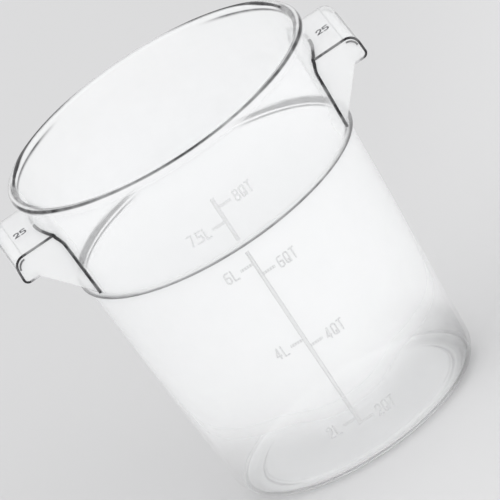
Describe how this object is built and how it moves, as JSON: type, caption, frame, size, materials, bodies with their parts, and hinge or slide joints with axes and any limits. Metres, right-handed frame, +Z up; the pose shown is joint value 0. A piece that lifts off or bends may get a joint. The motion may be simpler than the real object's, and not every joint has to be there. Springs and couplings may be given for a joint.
{
  "type": "dough proofing container",
  "caption": "Tall round clear food container, open at the top, with a stepped drafted wall, moulded side grips and a printed fill scale.",
  "frame": {"origin": "middle of the base, on the plane of the foot ring", "axes": "+Z up along the tub's axis, +X through the right grip, -Y towards the printed scale on the front"},
  "size_m": [0.2956, 0.246, 0.288],
  "materials": {
    "clear_plastic": "clear, slightly milky moulded plastic with a polished surface",
    "pale_print": "pale grey printed ink",
    "dark_print": "dark grey printed ink"
  },
  "bodies": {
    "root": {"tub": "clear_plastic", "grip_left": "clear_plastic", "grip_right": "clear_plastic", "grip_number_left": "dark_print", "grip_number_right": "dark_print", "scale_line_upper": "pale_print", "scale_line_lower": "pale_print", "quart_mark_8": "pale_print", "quart_mark_6": "pale_print", "quart_mark_4": "pale_print", "quart_mark_2": "pale_print", "litre_mark_7_5": "pale_print", "litre_mark_6": "pale_print", "litre_mark_4": "pale_print", "litre_mark_2": "pale_print"}
  },
  "joints": []
}
